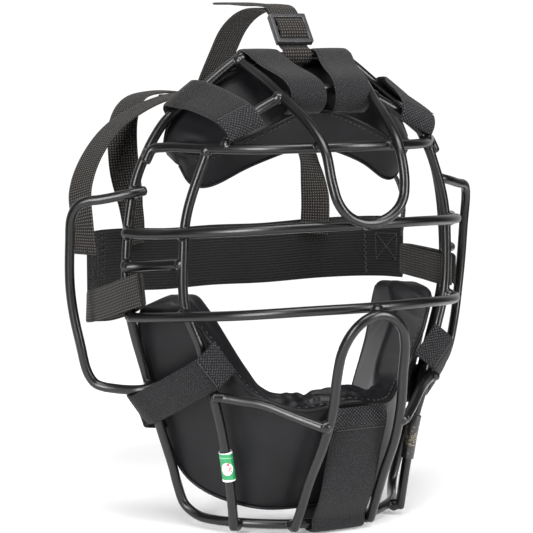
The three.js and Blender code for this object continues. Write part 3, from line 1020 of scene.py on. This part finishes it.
band_line = rebuilt("back_band", ELASTIC_SIZE, ELASTIC, "harness", "elastic", 6, reach=4 * MM)
for side in SIDES:
    for name in ("side_loop_", "side_crown_strap_", "rear_crown_strap_"):
        droop = LEFT_DROOP if name + side == "side_loop_left" else None
        rebuilt(name + side, WEBBING_SIZE, WEBBING, "harness", "webbing", wave=0.15, droop=droop)
for end in (1, -1):
    box = [(4, -9), (20, -9), (20, 9), (4, 9), (4, -9), (20, 9), (4, 9), (20, -9)]
    points = [(end * run, across) for run, across in box]
    band_sewing(f"box_stitch_{end}", points)
for end, start in ((1, 27), (-1, 27), (-1, 31)):
    points = [(end * (start + 2.2 * (k % 2)), -19 + 2.0 * k) for k in range(20)]
    band_sewing(f"zigzag_{end}_{start}", points)

# The tail is rebuilt as a ribbon that rides on no body.
rebuilt("strap_tail", WEBBING_SIZE, WEBBING, None, "webbing")
tail = bpy.data.objects["soft_strap_tail"]
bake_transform(tail)

front_centres, front_sides = strap_line("front_strap", *WEBBING_SIZE)
if front_centres[0].y > front_centres[-1].y:
    front_centres, front_sides = front_centres[::-1], front_sides[::-1]
front_sides = fitted_sides(front_sides)
front_size = [x * MM for x in WEBBING_SIZE]
front = ribbon("soft_front_strap", front_centres, front_sides, *front_size, 3)
dress(front, WEBBING, None, "webbing", "front_strap")
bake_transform(front)


def bevelled(node, name, width):
    """The node's own solid with rounded edges."""
    bm = welded(node)
    mesh = bpy.data.meshes.new(name)
    bm.to_mesh(mesh)
    bm.free()
    o = placed(name, mesh)
    modifier = o.modifiers.new("edge", "BEVEL")
    modifier.width, modifier.segments, modifier.limit_method = width, 4, "ANGLE"
    return baked(o)


patch_low, patch_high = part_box("crown_patch")
patch_middle = (patch_low + patch_high) / 2
PATCH_SIZE, PATCH_THICK = 44, 2
patch_line = [Vector((PATCH_SIZE * MM * k / 4, patch_middle.y, patch_middle.z)) for k in range(-2, 3)]
patch_sides = [Vector((0, 1, 0))] * len(patch_line)
patch = ribbon("soft_crown_patch", patch_line, patch_sides, PATCH_SIZE * MM, PATCH_THICK * MM)
dress(patch, WEBBING, "harness", "webbing", "crown_patch")

slide = bevelled("tri_glide", "slide", 0.7 * MM)
dress(slide, NYLON, "slide", "grey_nylon", "tri_glide")
slide_low, slide_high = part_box("tri_glide")
slide_middle = (slide_low + slide_high) / 2
# The slide lies on a slope: up along it, and out of its front.
RISE = Vector((0, 0.611, 0.791))
FORWARD = Vector((0, -0.791, 0.611))
wrap_route = [(-8.9, -1.6), (-7.4, 0.4), (-4.6, 2.6), (0, 3.1), (4.6, 2.6), (7.4, 0.4), (8.9, -1.6)]
wrap_centres = [slide_middle + (RISE * a + FORWARD * b) * MM for a, b in wrap_route]
wrap = ribbon("slide_wrap", wrap_centres, [Vector((1, 0, 0))] * len(wrap_route), 19.2 * MM, 1.5 * MM)
dress(wrap, WEBBING, "slide", "webbing")

# ---- Labels --------------------------------------------------------------------------------

WHITE, GREEN = (0.72, 0.72, 0.72), (0.008, 0.22, 0.07)
PALE = (0.25, 0.5, 0.33)
GOLD, FILM = (0.3, 0.24, 0.14), (0.012, 0.012, 0.012)
GREEN_BANDS = [(0, WHITE), (0.07, WHITE), (0.09, GREEN), (0.76, GREEN), (0.78, PALE), (0.8, GREEN)]
GREEN_BANDS += [(0.9, GREEN), (0.92, WHITE)]
LABEL_FRONT = Vector((-0.44, -0.9, 0))
CLEAR_BANDS = [(0, FILM), (0.42, FILM), (0.5, GOLD), (0.58, FILM)]
for side, stops, rough, speckle in (
    ("left", GREEN_BANDS, 0.4, 160),
    ("right", CLEAR_BANDS, 0.3, 420),
):
    node = "label_" + side
    low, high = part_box(node)
    middle = (low + high) / 2
    facing = LABEL_FRONT * (high.y - low.y) / 2
    roundel = middle + facing - Vector((0, 0, 1.5 * MM)) if side == "left" else None
    o = bevelled(node, "film_" + node, 0.12 * MM)
    material = band_label_look(node, low.z, high.z, stops, rough, speckle, roundel)
    dress(o, material, "cage", "green_label" if side == "left" else "clear_label", node)

# ---- Camera, floor and light ---------------------------------------------------------------

AZIMUTH, ELEVATION, DISTANCE = math.radians(-26), math.radians(7.7), 1.2
TARGET = Vector((-0.0225, -0.0105, -0.0145))
back = Vector((
    math.sin(AZIMUTH) * math.cos(ELEVATION),
    -math.cos(AZIMUTH) * math.cos(ELEVATION),
    math.sin(ELEVATION),
))


def aimed(o, position):
    """The object at that position, turned to the target."""
    o.location = position
    o.rotation_mode = "QUATERNION"
    o.rotation_quaternion = (TARGET - o.location).to_track_quat("-Z", "Y")
    return o


camera = aimed(placed("camera", bpy.data.cameras.new("camera")), TARGET + back * DISTANCE)
camera.data.lens, camera.data.sensor_width = 129.65, 36
bpy.context.scene.camera = camera

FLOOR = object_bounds()[0].z - 0.001
FLOOR_RADIUS, RIM = 0.6, 96
turns = [2 * math.pi * k / RIM for k in range(RIM)]
rim = [(FLOOR_RADIUS * math.cos(a), FLOOR_RADIUS * math.sin(a), FLOOR) for a in turns]
floor = mesh_object("floor", rim, [tuple(range(RIM))])
floor_look = Look("floor", (0.85, 0.85, 0.85), 1.0, Specular_IOR_Level=0.1)
floor_look.ramp(floor_look.noise(3, 2), [(0.3, grey(0.84)), (0.7, grey(0.86))])
floor_look.set("Emission Color", (1, 1, 1, 1))
floor_look.set("Emission Strength", 0.15)
floor.data.materials.append(floor_look.material)
floor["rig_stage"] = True

# A white studio: pale behind the object, dimmer on the side of the camera and the softboxes. The
# camera itself sees plain white.
world = bpy.data.worlds.new("studio")
bpy.context.scene.world = world
world.use_nodes = True
nodes, links = world.node_tree.nodes, world.node_tree.links
backdrop = nodes["Background"]
backdrop.inputs["Color"].default_value = (1, 1, 1, 1)
backdrop.inputs["Strength"].default_value = 1.05
room = nodes.new("ShaderNodeBackground")
direction = nodes.new("ShaderNodeSeparateXYZ")
links.new(nodes.new("ShaderNodeTexCoord").outputs["Generated"], direction.inputs["Vector"])
fade = nodes.new("ShaderNodeMapRange")
links.new(direction.outputs["Y"], fade.inputs["Value"])
for socket, value in (("From Min", 0.25), ("From Max", 0.75), ("To Min", 0.03), ("To Max", 1.1)):
    fade.inputs[socket].default_value = value
links.new(fade.outputs["Result"], room.inputs["Strength"])
either = nodes.new("ShaderNodeMixShader")
links.new(nodes.new("ShaderNodeLightPath").outputs["Is Camera Ray"], either.inputs["Fac"])
links.new(room.outputs["Background"], either.inputs[1])
links.new(backdrop.outputs["Background"], either.inputs[2])
links.new(either.outputs["Shader"], nodes["World Output"].inputs["Surface"])


def softbox(name, position, size, power):
    data = bpy.data.lights.new(name, "AREA")
    data.shape, data.size, data.size_y, data.energy = "RECTANGLE", size[0], size[1], power
    aimed(placed(name, data), position)


# The power is in watts.
softbox("left_box", (-1.85, -1.3, 0.5), (0.65, 1.7), 75)
softbox("right_box", (1.15, -1.85, 0.6), (0.65, 1.7), 60)
softbox("top_box", (-0.2, -0.7, 1.8), (1.6, 1.0), 48)
bpy.context.scene.view_settings.view_transform = "Standard"

low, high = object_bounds()
